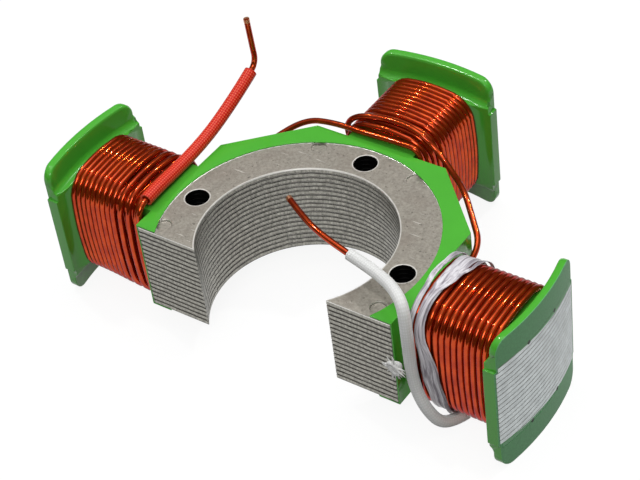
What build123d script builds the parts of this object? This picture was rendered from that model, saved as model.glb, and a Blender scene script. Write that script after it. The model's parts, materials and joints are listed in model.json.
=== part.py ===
from build123d import *
import os
from math import cos, radians, sin, sqrt, tan

# Wound stator: a stack of stamped sheets with three poles, a powder coat on its outer part,
# a winding on each pole and two sleeved leads.
# All sizes are in millimetres. The bore runs along Z, the middle pole points along +Y,
# and z = 0 is the underside of the stack.

# Sheets
sheet_count = 18
sheet_thickness = 1.25
bore_radius = 22.0
yoke_flat = 32.5  # bore axis to the flats that carry the poles
yoke_corner = 34.9  # bore axis to the slanted flats between them
cut_distance = 14.0  # bore axis to the square-cut ends of the yoke
neck_width = 16.4
face_radius = 59.5  # ground faces of the poles
tip_depth = 4.4  # ground face to the inner side of a pole tip
tip_width = 30.0
hole_radius = 2.7
hole_web = 2.0  # steel between the bore and a bolt hole
pole_angles = (0, 90, 180)

# Pressed dimples on the bare ring
dimple_radius = 1.75
dimple_depth = 0.5
dimple_inset = 1.3  # centre of a dimple to the edge of the coat
dimple_angles = (-21.2, 64.8, 115.2, 201.2)

# Tabs bent up and down from the two end sheets, whose pole tips are as narrow as the tabs
tab_rise = 6.3
tab_width = 28.8
tab_corner = 2.8
tab_setback = 0.3  # ground face to the outer side of a tab
tab_fold = 0.8

# Powder coat
coat = 0.4
coat_fold = 1.8
coat_margin = 1.5  # coat on the yoke where it is narrowest, and the ring inside it is bare
etching = 0.02  # taken off the end sheets under the coat, so that the bare ring is a seat

# Windings
wire_diameter = 1.4
wire_layers = 2
root_gap = 2.2  # coated yoke to the winding, where the wires pass
loose_turns = 3
loose_pitch = 1.85
groove_depth = 0.5  # between two turns
turn_corner = 4.5
corner_flats = 3  # short flats that a turn makes at each corner
seat_clearance = 0.05

# Sleeves on the leads
red_sleeve_diameter = 3.0
white_sleeve_diameter = 2.6
sleeve_wall = 0.5
sleeve_room = 0.4
sleeve_gap = 2.05  # side of the right winding to the middle of the white sleeve

# Lacing tape round the foot of the right winding
tape_gap = 1.7  # coated yoke to the tape
tape_width = 4.6
tape_thickness = 0.25
strap_height = 3.0
strap_clearance = 0.3
strap_middle = 11.3  # above the underside of the stack
knot_length = 4.6
knot_depth = 1.8
knot_height = 6.4
knot_chamfer = 0.6

# Worked out from the sizes above
stack_height = sheet_count * sheet_thickness
stack_middle = stack_height / 2
coated_flat = yoke_flat + coat
tip_seat = face_radius - tip_depth
hole_circle = bore_radius + hole_web + hole_radius
bare_radius = yoke_flat - coat_margin
dimple_circle = bare_radius - dimple_inset
tab_outer = face_radius - tab_setback
tab_inner = tab_outer - sheet_thickness
coat_top = stack_height + coat
tip_side = tip_seat - coat
room_width = neck_width + 2 * (coat + seat_clearance)
room_height = stack_height + 2 * (coat + seat_clearance)
turn_width = room_width + 2 * wire_layers * wire_diameter
turn_height = room_height + 2 * wire_layers * wire_diameter
turn_side = turn_width / 2
turn_foot = stack_middle - turn_height / 2
turn_top = stack_middle + turn_height / 2
winding_room = tip_side - coated_flat - root_gap
tight_turns = int((winding_room - loose_turns * loose_pitch) / wire_diameter)
turn_centres = [tip_side - wire_diameter * (turn + 0.5) for turn in range(tight_turns)]
turn_centres += [turn_centres[-1] - loose_pitch * (turn + 1) for turn in range(loose_turns)]
winding_start = turn_centres[-1] - wire_diameter / 2
winding_length = tip_side - winding_start
tape_start = coated_flat + tape_gap
beyond = 2 * face_radius
mid_plane = Plane.XY.offset(stack_middle)

# Routes of the wires, from where each leaves its winding.
# The arc at each point is as large as the runs beside it leave room for.
run_share = 0.45
tube_sides = 8
start_route = (
    (-coated_flat - 1.3, 8.6, -1.4),
    (-coated_flat - 1.2, 2.6, -1.3),
    (-coated_flat - 1.1, -3.6, -1.4),
    (-coated_flat - 1.1, -8.6, -1.9),
    (-coated_flat - 1.1, -11.3, 0.8),
    (-coated_flat - 1.2, -11.2, 6.2),
    (-coated_flat - 1.1, -11.4, 12.8),
    (-coated_flat - 1.1, -12.0, 19.6),
    (-coated_flat - 1.1, -11.0, 24.9),
    (-coated_flat - 1.4, -5.0, 25.3),
    (-coated_flat - 2.0, 2.5, 24.7),
    (-coated_flat - 2.1, 10.0, 24.9),
    (-coated_flat - 2.2, 17.5, 25.9),
    (-coated_flat - 2.1, 25.0, 28.3),
    (-coated_flat - 2.1, 31.4, 30.7),
    (-coated_flat - 2.2, 36.0, 32.6),
    (-coated_flat - 2.0, 35.4, 38.0),
    (-coated_flat - 2.1, 35.0, 45.4),
)
finish_route = (
    (coated_flat + 13.1, 0.5, turn_foot - 0.85),
    (coated_flat + 11.7, -3.6, turn_foot - 1.55),
    (coated_flat + 10.1, -8.0, turn_foot - 1.65),
    (coated_flat + 8.5, -turn_side - 0.75, turn_foot + 0.05),
    (coated_flat + 6.3, -turn_side - 2.15, 1.2),
    (coated_flat + 4.3, -turn_side - 2.15, 5.6),
    (coated_flat + 3.4, -turn_side - sleeve_gap, 10.6),
    (coated_flat + 3.3, -turn_side - sleeve_gap, 16.5),
    (coated_flat + 3.3, -turn_side - 2.15, 22.0),
    (coated_flat + 2.0, -turn_side - 0.75, turn_top + 1.95),
    (31.0, -9.4, 28.0),
    (26.6, -7.1, 27.5),
    (20.5, -5.2, 27.3),
    (13.8, -4.3, 28.4),
    (8.0, -3.0, 29.2),
    (3.0, -0.8, 29.5),
    (-3.0, 2.8, 29.4),
)


def beside_corner(side, along, gap, up):
    """A place outside the left (-1) or right (1) slanted flat of the coated yoke."""
    out = yoke_corner + coat + gap
    return (side * (out - along) / sqrt(2), (out + along) / sqrt(2), up)


left_to_back_route = (
    (-coated_flat - 1.2, 10.4, 7.0),
    (-coated_flat - 1.8, 15.8, 10.2),
    beside_corner(-1, -7.2, 2.7, 14.0),
    beside_corner(-1, 0.7, 3.6, 18.8),
    beside_corner(-1, 9.0, 3.1, 22.8),
    (-13.5, coated_flat + 1.2, 24.1),
    (-4.5, coated_flat + 1.0, 24.3),
    (4.0, coated_flat + 1.2, 24.5),
    (10.4, coated_flat + 1.1, 24.5),
    (10.7, coated_flat + 1.1, 17.5),
)
back_to_right_route = (
    (-8.0, coated_flat + 3.4, turn_top + 0.95),
    (0.0, coated_flat + 5.1, turn_top + 1.05),
    (turn_side - 3.25, coated_flat + 3.9, turn_top + 1.35),
    (turn_side + 1.95, coated_flat + 3.7, turn_top - 3.15),
    beside_corner(1, 9.9, 1.3, 21.9),
    beside_corner(1, 2.4, 1.9, 23.4),
    beside_corner(1, -4.7, 1.9, 20.9),
    (coated_flat + 1.1, 18.4, 19.2),
    (coated_flat + 0.9, 13.2, 16.5),
    (coated_flat + 0.9, 10.6, 11.5),
)

finished = []


def keep(part, name):
    """Labels a finished piece and puts it on the list of files to write."""
    part.label = name
    finished.append(part)


def pole_plane(distance):
    """Plane square to the +X pole, with its origin at half the height of the stack."""
    return Plane(origin=(distance, 0, stack_middle), x_dir=(0, 1, 0), z_dir=(1, 0, 0))


def pole_tip(width):
    """The wide end of the +X pole, trimmed by the ground face."""
    with BuildSketch() as tip:
        Circle(face_radius)
        with Locations((tip_seat, 0)):
            Rectangle(face_radius, width, align=(Align.MIN, Align.CENTER), mode=Mode.INTERSECT)
    return tip.sketch


def stamping(width):
    """Outline of a sheet without its openings, with pole tips of the given width."""
    with BuildSketch() as blank:
        Rectangle(2 * yoke_flat, 2 * yoke_flat)
        Rectangle(2 * yoke_corner, 2 * yoke_corner, rotation=45, mode=Mode.INTERSECT)
        with Locations((0, -cut_distance)):
            Rectangle(beyond, beyond, align=(Align.CENTER, Align.MAX), mode=Mode.SUBTRACT)
        for angle in pole_angles:
            with PolarLocations(tip_seat / 2, 1, start_angle=angle):
                Rectangle(tip_seat, neck_width)
            add(pole_tip(width), rotation=angle)
    return blank.sketch


plain_outline = stamping(tip_width)
end_outline = stamping(tab_width)

# Bore and bolt holes, which go through every sheet
with BuildSketch() as openings:
    Circle(bore_radius)
    for angle in pole_angles:
        with PolarLocations(hole_circle, 1, start_angle=angle):
            Circle(hole_radius)

# The part of an end sheet's face that the coat covers
with BuildSketch() as covered_face:
    add(end_outline)
    Circle(bare_radius, mode=Mode.SUBTRACT)


def sheet(outline, bottom):
    """One stamped sheet, lying with its underside at the given height."""
    with BuildPart() as plate:
        with BuildSketch(Plane.XY.offset(bottom)):
            add(outline)
            add(openings.sketch, mode=Mode.SUBTRACT)
        extrude(amount=sheet_thickness)
    return plate.part


def tab(seat, inner, outer, base, foot, top, width, corner, fold, rounded):
    """A tab on the rim of the +X pole tip.

    Its section is turned about the bore axis, so that it follows the ground face, and is
    then trimmed to the seat, the inner side of the tip, and to an outline with two rounded
    corners. The fold is rounded or slanted.
    """
    with BuildPart() as bent:
        with BuildSketch(Plane.XZ):
            with BuildLine():
                Polyline(
                    (inner - fold - coat, base),
                    (outer, base),
                    (outer, top),
                    (inner, top),
                    (inner, foot),
                    (inner - fold - coat, foot),
                    close=True,
                )
            make_face()
            crease = vertices().sort_by_distance((inner, foot))[0]
            if rounded:
                fillet(crease, radius=fold)
            else:
                chamfer(crease, fold)
        revolve(axis=Axis.Z)
        with BuildSketch(Plane.YZ.offset(seat)):
            with Locations((0, top)):
                Rectangle(width, top - base, align=(Align.CENTER, Align.MAX))
            fillet(vertices().group_by(Axis.Y)[-1], radius=corner)
        extrude(amount=beyond, mode=Mode.INTERSECT)
    return bent.part


# Plain sheets
for number in range(2, sheet_count):
    with BuildPart() as lamination:
        add(sheet(plain_outline, (number - 1) * sheet_thickness))
    keep(lamination.part, f"lamination_{number:02d}")

# Tabs of the end sheets, and the coat on them: it covers the edge of the upper tabs,
# and the part stands on the bare edges of the lower ones
steel_tab = tab(
    seat=tip_seat,
    inner=tab_inner,
    outer=tab_outer,
    base=stack_height - sheet_thickness,
    foot=stack_height,
    top=stack_height + tab_rise,
    width=tab_width,
    corner=tab_corner,
    fold=tab_fold,
    rounded=False,
)
upper_coat, lower_coat = (
    tab(
        seat=tip_side,
        inner=tab_inner - coat,
        outer=face_radius,
        base=stack_height,
        foot=coat_top,
        top=stack_height + rise,
        width=tab_width + 2 * coat,
        corner=tab_corner + coat,
        fold=coat_fold,
        rounded=True,
    )
    for rise in (tab_rise + coat, tab_rise)
)


def under(part, angle):
    """A tab of the top side, turned to a pole and mirrored to the underside."""
    return mirror(part.rotate(Axis.Z, angle), about=mid_plane, mode=Mode.PRIVATE)


with BuildPart() as end_plate_top:
    add(sheet(end_outline, stack_height - sheet_thickness))
    with BuildSketch(Plane.XY.offset(stack_height)):
        add(covered_face.sketch)
    extrude(amount=-etching, mode=Mode.SUBTRACT)
    with BuildSketch(Plane.XY.offset(stack_height)):
        for angle in dimple_angles:
            with PolarLocations(dimple_circle, 1, start_angle=angle):
                Circle(dimple_radius)
    extrude(amount=-dimple_depth, mode=Mode.SUBTRACT)
    for angle in pole_angles:
        add(steel_tab, rotation=(0, 0, angle))
keep(end_plate_top.part, "end_plate_top")

with BuildPart() as end_plate_bottom:
    add(sheet(end_outline, 0))
    with BuildSketch():
        add(covered_face.sketch)
    extrude(amount=etching, mode=Mode.SUBTRACT)
    for angle in pole_angles:
        add(under(steel_tab, angle))
keep(end_plate_bottom.part, "end_plate_bottom")

# Powder coat over the poles and the outer part of the yoke
with BuildPart() as epoxy_coat:
    with BuildSketch(Plane.XY.offset(-coat)):
        offset(end_outline, amount=coat, kind=Kind.INTERSECTION)
    extrude(amount=stack_height + 2 * coat)
    with BuildSketch(Plane.XY.offset(sheet_thickness - coat)):
        offset(plain_outline, amount=coat, kind=Kind.INTERSECTION)
    extrude(amount=stack_height - 2 * sheet_thickness + 2 * coat)
    for angle in pole_angles:
        add(upper_coat, rotation=(0, 0, angle))
        add(under(lower_coat, angle))
    with BuildSketch(mid_plane):
        Circle(face_radius)
    extrude(amount=beyond, both=True, mode=Mode.INTERSECT)
    with BuildSketch(mid_plane):
        Circle(bare_radius)
        with Locations((0, -cut_distance)):
            Rectangle(2 * (yoke_corner + coat), beyond, align=(Align.CENTER, Align.MAX))
    extrude(amount=beyond, both=True, mode=Mode.SUBTRACT)
    with BuildSketch():
        add(end_outline)
    extrude(amount=stack_height, mode=Mode.SUBTRACT)
    with BuildSketch(Plane.XY.offset(sheet_thickness)):
        add(plain_outline)
    extrude(amount=stack_height - 2 * sheet_thickness, mode=Mode.SUBTRACT)
    for angle in pole_angles:
        add(steel_tab, rotation=(0, 0, angle), mode=Mode.SUBTRACT)
        add(under(steel_tab, angle), mode=Mode.SUBTRACT)
keep(epoxy_coat.part, "epoxy_coat")


def turn_points(width, height, corner):
    """Corners of a turn's outline, a rectangle whose corners are made of short flats."""
    points = []
    for quarter in range(4):
        side_across = 1 if quarter in (0, 3) else -1
        side_up = 1 if quarter in (0, 1) else -1
        for flat in range(corner_flats + 1):
            turn = radians(90 * (quarter + flat / corner_flats))
            across = side_across * (width / 2 - corner) + corner * cos(turn)
            up = side_up * (height / 2 - corner) + corner * sin(turn)
            points.append((across, up))
    return points


def turn_outline(growth, mode=Mode.ADD):
    """Draws the outline of the windings, grown or shrunk, in the sketch that is open."""
    Polygon(
        *turn_points(turn_width + 2 * growth, turn_height + 2 * growth, turn_corner + growth),
        align=None,
        mode=mode,
    )


# A winding: the outline runs over each turn and down into the groove beside it
with BuildPart() as winding_form:
    with BuildSketch(pole_plane(winding_start)):
        turn_outline(-groove_depth)
    for centre, neighbour in zip(turn_centres[::-1], turn_centres[-2::-1] + [None]):
        with BuildSketch(pole_plane(centre)):
            turn_outline(0)
        groove = tip_side if neighbour is None else (centre + neighbour) / 2
        with BuildSketch(pole_plane(groove)):
            turn_outline(-groove_depth)
    loft(ruled=True)
    with BuildSketch(pole_plane(winding_start)):
        Rectangle(room_width, room_height)
    extrude(amount=winding_length, mode=Mode.SUBTRACT)

with BuildPart() as winding_right:
    add(winding_form.part)
keep(winding_right.part, "winding_right")

with BuildPart() as winding_back:
    add(winding_form.part, rotation=(0, 0, 90))
keep(winding_back.part, "winding_back")

# The last turns on the left pole dip under the red sleeve
sleeve_reach = -min(x for x, y, z in start_route) + red_sleeve_diameter / 2 + sleeve_room
with BuildPart() as winding_left:
    add(winding_form.part, rotation=(0, 0, 180))
    with BuildSketch(Plane.XY.offset(coat_top)):
        with Locations((-sleeve_reach, 0)):
            Rectangle(sleeve_reach, beyond, align=(Align.MIN, Align.CENTER))
    extrude(amount=beyond, mode=Mode.SUBTRACT)
keep(winding_left.part, "winding_left")


def corner_radii(route):
    """Radius of the arc at each inner point of a route."""
    places = [Vector(*point) for point in route]
    radii = []
    for before, corner, after in zip(places, places[1:], places[2:]):
        turn = (corner - before).get_angle(after - corner)
        shorter = min((corner - before).length, (after - corner).length)
        radii.append(run_share * shorter / tan(radians(turn / 2)))
    return radii


def tube(name, points, radii, diameter, bore=0.0):
    """A round tube along straight runs and the arcs that join them."""
    with BuildPart() as run:
        with BuildLine() as line:
            FilletPolyline(*points, radius=radii)
        with BuildSketch(Plane(origin=line.line @ 0, z_dir=line.line % 0)) as section:
            RegularPolygon(diameter / 2, tube_sides)
            if bore:
                RegularPolygon(bore / 2, tube_sides, mode=Mode.SUBTRACT)
        sweep()
    length = sum(edge.length for edge in line.edges())
    expected = section.sketch.area * length
    print(name, "length", round(length, 1), "volume", round(run.part.volume / expected, 4))
    print(name, "radii", [round(radius, 1) for radius in radii])
    return run.part


def sleeve(name, route, first, last, diameter):
    """A sleeve on a lead, from the middle of one run to the middle of another."""
    places = [Vector(*point) for point in route]
    start = (places[first - 1] + places[first]) / 2
    end = (places[last] + places[last + 1]) / 2
    points = [start, *places[first : last + 1], end]
    radii = corner_radii(route)[first - 1 : last]
    return tube(name, points, radii, diameter, diameter - 2 * sleeve_wall)


# Wires and sleeves
wires = {
    "start_lead": start_route,
    "finish_lead": finish_route,
    "crossover_left_back": left_to_back_route,
    "crossover_back_right": back_to_right_route,
}
for name, route in wires.items():
    with BuildPart() as wire:
        add(tube(name, route, corner_radii(route), wire_diameter))
    keep(wire.part, name)

with BuildPart() as red_sleeve:
    add(sleeve("red_sleeve", start_route, 9, 14, red_sleeve_diameter))
keep(red_sleeve.part, "red_sleeve")

with BuildPart() as white_sleeve:
    add(sleeve("white_sleeve", finish_route, 2, 12, white_sleeve_diameter))
keep(white_sleeve.part, "white_sleeve")

# Lacing tape: round the winding, and round the white sleeve beside it
sleeve_x, sleeve_y, _ = finish_route[6]
strap_inner = white_sleeve_diameter / 2 + strap_clearance
strap_outer = sleeve_gap - seat_clearance - tape_thickness / 2
with BuildPart() as lacing_tape:
    with BuildSketch(pole_plane(tape_start)):
        turn_outline(seat_clearance + tape_thickness)
        turn_outline(seat_clearance, mode=Mode.SUBTRACT)
    extrude(amount=tape_width)
    with BuildSketch(Plane.XY.offset(strap_middle - strap_height / 2)):
        with Locations((sleeve_x, sleeve_y)):
            Circle(strap_outer)
            Circle(strap_inner, mode=Mode.SUBTRACT)
    extrude(amount=strap_height)
keep(lacing_tape.part, "lacing_tape")

with BuildPart() as lacing_knot:
    knot_x = sleeve_x - knot_length / 4
    knot_y = sleeve_y - strap_outer - seat_clearance - knot_depth / 2
    with Locations((knot_x, knot_y, strap_middle)):
        Box(knot_length, knot_depth, knot_height)
    chamfer(edges(), knot_chamfer)
keep(lacing_knot.part, "lacing_knot")

os.makedirs("parts", exist_ok=True)
for part in finished:
    export_step(part, f"parts/{part.label}.step")
print(len(finished), "parts")
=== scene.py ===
import json
import random
from math import cos, floor, hypot, pi, radians, sin

import bmesh
import bpy
from bpy.props import FloatProperty, FloatVectorProperty, IntProperty, PointerProperty
from mathutils import Matrix, Vector, noise


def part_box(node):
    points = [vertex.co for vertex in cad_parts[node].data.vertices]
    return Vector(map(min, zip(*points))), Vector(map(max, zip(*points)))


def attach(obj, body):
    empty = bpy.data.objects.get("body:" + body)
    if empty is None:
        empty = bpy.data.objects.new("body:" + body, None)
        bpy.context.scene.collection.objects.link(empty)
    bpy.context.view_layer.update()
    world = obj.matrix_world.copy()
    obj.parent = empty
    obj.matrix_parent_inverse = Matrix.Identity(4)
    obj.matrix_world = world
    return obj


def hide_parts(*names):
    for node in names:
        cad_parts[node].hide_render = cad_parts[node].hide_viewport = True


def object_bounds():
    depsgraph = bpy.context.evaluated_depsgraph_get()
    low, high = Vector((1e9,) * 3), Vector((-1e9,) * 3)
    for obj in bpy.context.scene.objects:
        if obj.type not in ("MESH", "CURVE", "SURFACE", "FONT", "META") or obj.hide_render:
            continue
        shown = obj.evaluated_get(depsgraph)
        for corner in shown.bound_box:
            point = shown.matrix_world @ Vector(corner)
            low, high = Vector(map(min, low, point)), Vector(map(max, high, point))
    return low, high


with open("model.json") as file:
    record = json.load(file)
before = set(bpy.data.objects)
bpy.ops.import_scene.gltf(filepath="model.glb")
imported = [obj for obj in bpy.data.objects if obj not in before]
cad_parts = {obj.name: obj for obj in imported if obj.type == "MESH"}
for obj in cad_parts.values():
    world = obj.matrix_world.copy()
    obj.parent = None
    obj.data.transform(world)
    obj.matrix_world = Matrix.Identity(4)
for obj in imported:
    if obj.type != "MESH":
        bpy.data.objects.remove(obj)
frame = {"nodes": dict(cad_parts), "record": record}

bl_info = {
    "name": "Wound stator",
    "version": (1, 0, 0),
    "blender": (4, 5, 0),
    "location": "3D View > Sidebar > Stator",
    "description": "Dresses a wound stator with three poles: coat, ground faces, enamelled wire and sleeves",
    "category": "Add Mesh",
}

# All lengths are in metres. The bore runs along Z and the stack's underside is at z = 0.
MM = 0.001
SHARP = radians(40)
cad_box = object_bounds()
stack_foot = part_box("lamination_02")[0].z
sheet_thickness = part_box("lamination_02")[1].z - stack_foot
sheet_count = sum(name.startswith("lamination") for name in frame["nodes"]) + 2
stack_height = sheet_count * sheet_thickness
winding_low, winding_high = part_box("winding_right")
winding_middle = (winding_low.z + winding_high.z) / 2
face_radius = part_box("epoxy_coat")[1].x
bolts = next(mount for mount in frame["record"]["mounts"] if mount["name"] == "bolt_holes")["dims"]
hole_radius = bolts["hole_r_mm"] * MM
bore_radius = min(hypot(*vertex.co.xy) for vertex in bpy.data.objects["lamination_02"].data.vertices)
hole_circle = bolts["spacing_x_mm"] / 2 * MM
HOLES = ((hole_circle, 0), (0, hole_circle), (-hole_circle, 0))
GROUND_DEPTH = 0.25 * MM  # what lies this close to the face radius was touched by the grinding wheel
PIT_PLACE = (5.1 * MM, 11.1 * MM, 0)  # across a ground face, and up or down from mid-stack

# The poles, by the angle from +X
POLES = {"right": 0, "back": 90, "left": 180}

# Turns of each winding, from the pole tip inwards: the close turns' pitch and number, then the gaps
# between loose ones, and how far the last of them sags under the pole
WINDINGS = {
    "right": {"pitch": 0.00145, "close_turns": 10, "gaps": (0.0017, 0.0017, 0.0017), "sag": 0.0},
    "back": {"pitch": 0.0014, "close_turns": 10, "gaps": (0.0018, 0.00195, 0.0018), "sag": 0.0002},
    "left": {"pitch": 0.0014, "close_turns": 9, "gaps": (0.0022, 0.00245, 0.0023), "sag": 0.0020},
}
CLOSE_SLIP = 0.04 * MM  # how far a close turn strays along the pole
LOOSE_SLIP = 0.18 * MM
STEP_START = 0.9  # share of a turn after which it steps over to the next one

# Routes of the wires, as the wires' control points
START_ROUTE = (
    (-0.0342, 0.0086, -0.0014),
    (-0.0341, 0.0026, -0.0013),
    (-0.0340, -0.0036, -0.0014),
    (-0.0340, -0.0086, -0.0019),
    (-0.0340, -0.0113, 0.0008),
    (-0.0341, -0.0112, 0.0062),
    (-0.0340, -0.0114, 0.0128),
    (-0.0340, -0.0120, 0.0196),
    (-0.0340, -0.0110, 0.0249),
    (-0.0343, -0.0050, 0.0253),
    (-0.0349, 0.0025, 0.0247),
    (-0.0350, 0.0100, 0.0249),
    (-0.0351, 0.0175, 0.0259),
    (-0.0350, 0.0250, 0.0283),
    (-0.0350, 0.0314, 0.0307),
    (-0.0351, 0.0360, 0.0326),
    (-0.0349, 0.0354, 0.0380),
    (-0.0350, 0.0350, 0.0454),
)
FINISH_ROUTE = (
    (0.0460, 0.0005, -0.0041),
    (0.0446, -0.0036, -0.0048),
    (0.0430, -0.0080, -0.0049),
    (0.0414, -0.0122, -0.0032),
    (0.0392, -0.0136, 0.0012),
    (0.0372, -0.0136, 0.0056),
    (0.0363, -0.0135, 0.0106),
    (0.0362, -0.0135, 0.0165),
    (0.0362, -0.0136, 0.0220),
    (0.0349, -0.0122, 0.0277),
    (0.0310, -0.0094, 0.0280),
    (0.0266, -0.0071, 0.0275),
    (0.0205, -0.0052, 0.0273),
    (0.0138, -0.0043, 0.0284),
    (0.0080, -0.0030, 0.0292),
    (0.0030, -0.0008, 0.0295),
    (-0.0030, 0.0028, 0.0294),
)
LEFT_TO_BACK_ROUTE = (
    (-0.0341, 0.0104, 0.0070),
    (-0.0347, 0.0158, 0.0102),
    (-0.03196, 0.02178, 0.0140),
    (-0.02701, 0.0280, 0.0188),
    (-0.02079, 0.03352, 0.0228),
    (-0.0135, 0.0341, 0.0241),
    (-0.0045, 0.0339, 0.0243),
    (0.0040, 0.0341, 0.0245),
    (0.0104, 0.0340, 0.0245),
    (0.0107, 0.0340, 0.0175),
)
BACK_TO_RIGHT_ROUTE = (
    (-0.0104, 0.0360, 0.0190),
    (-0.0118, 0.0360, 0.0225),
    (-0.0080, 0.0363, 0.0267),
    (0.0000, 0.0380, 0.0268),
    (0.0082, 0.0368, 0.0271),
    (0.0134, 0.0366, 0.0226),
    (0.01888, 0.03288, 0.0219),
    (0.02461, 0.0280, 0.0234),
    (0.02963, 0.02298, 0.0209),
    (0.0340, 0.0184, 0.0192),
    (0.0338, 0.0132, 0.0165),
    (0.0338, 0.0106, 0.0115),
)


def linear(code):
    """An sRGB hex colour as linear red, green, blue and alpha."""
    parts = [int(code[place : place + 2], 16) / 255 for place in (1, 3, 5)]
    return (*(part / 12.92 if part <= 0.04045 else ((part + 0.055) / 1.055) ** 2.4 for part in parts), 1)


def length(name, description, metres):
    """A length property."""
    return FloatProperty(name=name, description=description, default=metres, unit="LENGTH")


def angle(name, description, degrees):
    """An angle property with its default in degrees."""
    return FloatProperty(name=name, description=description, default=radians(degrees), subtype="ANGLE")


def power(name, description, watts):
    """A property for the power of a lamp."""
    return FloatProperty(name=name, description=description, default=watts, unit="POWER")


def colour(name, description, code):
    """A colour property with an sRGB hex default."""
    return FloatVectorProperty(
        name=name, description=description, default=linear(code), size=4, min=0, max=1, subtype="COLOR"
    )


class StatorSizes(bpy.types.PropertyGroup):
    """Sizes of what is added to the stack."""

    wire_diameter: length("Wire", "Diameter of the enamelled wire", 0.0014)
    turn_corner: length("Turn corner", "Radius of a turn at the pole's corners", 0.0064)
    inner_corner: length("Inner corner", "Radius of a turn of the inner layer at the corners", 0.0032)
    turn_bulge: length("Turn bulge", "How far a turn's side stands out at its middle", 0.00035)
    red_sleeve: length("Red sleeve", "Diameter of the red sleeve", 0.0030)
    white_sleeve: length("White sleeve", "Diameter of the white sleeve", 0.0026)
    sleeve_wall: length("Sleeve wall", "Thickness of the braid", 0.0005)
    sheet_edge: length("Sheet edge", "Rounding of a stamped sheet's edges", 0.00016)
    coat_edge: length("Coat edge", "Rounding of the powder coat's edges", 0.00014)
    tab_ridge: length("Tab ridge", "Rounding of the coat over a tab's edge", 0.00085)


class StatorColours(bpy.types.PropertyGroup):
    """Colours of the finishes."""

    coat: colour("Powder coat", "Glossy green powder coat", "#4FB236")
    coat_ground: colour("Ground coat", "Powder coat dulled by the grinding wheel", "#6CB478")
    steel_flat: colour("Steel flat", "Rolled face of a bare sheet", "#A39D92")
    steel_edge: colour("Steel edge", "Punched edge of a sheet", "#94928A")
    steel_ground: colour("Ground steel", "Ground face of a pole", "#C4CACA")
    enamel: colour("Enamel", "Enamelled copper wire", "#CB4A12")
    copper: colour("Copper", "Cut end of a wire", "#E3A27A")
    red_braid: colour("Red braid", "Varnished red glass braid", "#DC1C0A")
    white_braid: colour("White braid", "White glass braid", "#FFFFFF")
    lacing: colour("Lacing", "Thin lilac-white lacing tape", "#DCD2E0")


class StatorStudio(bpy.types.PropertyGroup):
    """Camera and light."""

    azimuth: angle("Azimuth", "Camera's turn from the -Y side", 39.68)
    elevation: angle("Elevation", "Camera's height over the horizon", 40.84)
    roll: angle("Roll", "Camera's tilt to the side", -8.14)
    distance: length("Distance", "Camera to the stack", 0.4129)
    aside: length("Aside", "Camera's place to the right of the bore", 0.00256)
    above: length("Above", "Camera's place above the bore", 0.01566)
    lens: FloatProperty(name="Lens", description="Focal length", default=105.57, unit="CAMERA")
    key_power: power("Key", "Power of the lamp behind", 1.3)
    top_power: power("Top", "Power of the large lamp overhead", 0.8)
    fill_power: power("Fill", "Power of the front lamp", 1.3)
    glint_power: power("Glint", "Power of the lamp on the left", 0.9)
    sky_level: FloatProperty(name="Sky", description="Strength of the light from overhead", default=0.75)
    horizon_level: FloatProperty(name="Horizon", description="Strength of light from the sides", default=0.06)
    seed: IntProperty(name="Seed", description="Start of the small differences between turns", default=7)


def fill(tree, node, inputs):
    """Sets a node's inputs to values, or links them to other nodes' outputs."""
    for socket, value in inputs.items():
        if isinstance(value, bpy.types.NodeSocket):
            tree.links.new(value, node.inputs[socket])
        else:
            node.inputs[socket].default_value = value


def add(tree, kind, inputs=None, **settings):
    """Adds a node with its settings and links."""
    node = tree.nodes.new("ShaderNode" + kind)
    for name, value in settings.items():
        setattr(node, name, value)
    fill(tree, node, inputs or {})
    return node


def new_material(name):
    """An empty material, its node tree and its shader."""
    material = bpy.data.materials.new(name)
    material.use_nodes = True
    return material, material.node_tree, material.node_tree.nodes["Principled BSDF"]


def pits(tree, place):
    """1 in the four small pits of each ground face, where their shade is painted, and 0 elsewhere."""
    size = add(tree, "VectorMath", {0: place}, operation="ABSOLUTE").outputs[0]
    split = add(tree, "SeparateXYZ", {0: size})
    across = add(tree, "Math", {0: split.outputs["X"], 1: split.outputs["Y"]}, operation="MINIMUM")
    height = add(tree, "SeparateXYZ", {0: place}).outputs["Z"]
    up = add(tree, "Math", {0: height, 1: stack_height / 2}, operation="SUBTRACT")
    away = add(tree, "Math", {0: up.outputs[0]}, operation="ABSOLUTE")
    spot = add(tree, "CombineXYZ", {"X": across.outputs[0], "Y": away.outputs[0]})
    reach = add(tree, "VectorMath", {0: spot.outputs[0], 1: PIT_PLACE}, operation="DISTANCE")
    return add(
        tree, "MapRange", {"Value": reach.outputs["Value"], "From Min": 0.6 * MM, "From Max": 0.4 * MM}
    ).outputs[0]


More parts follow.
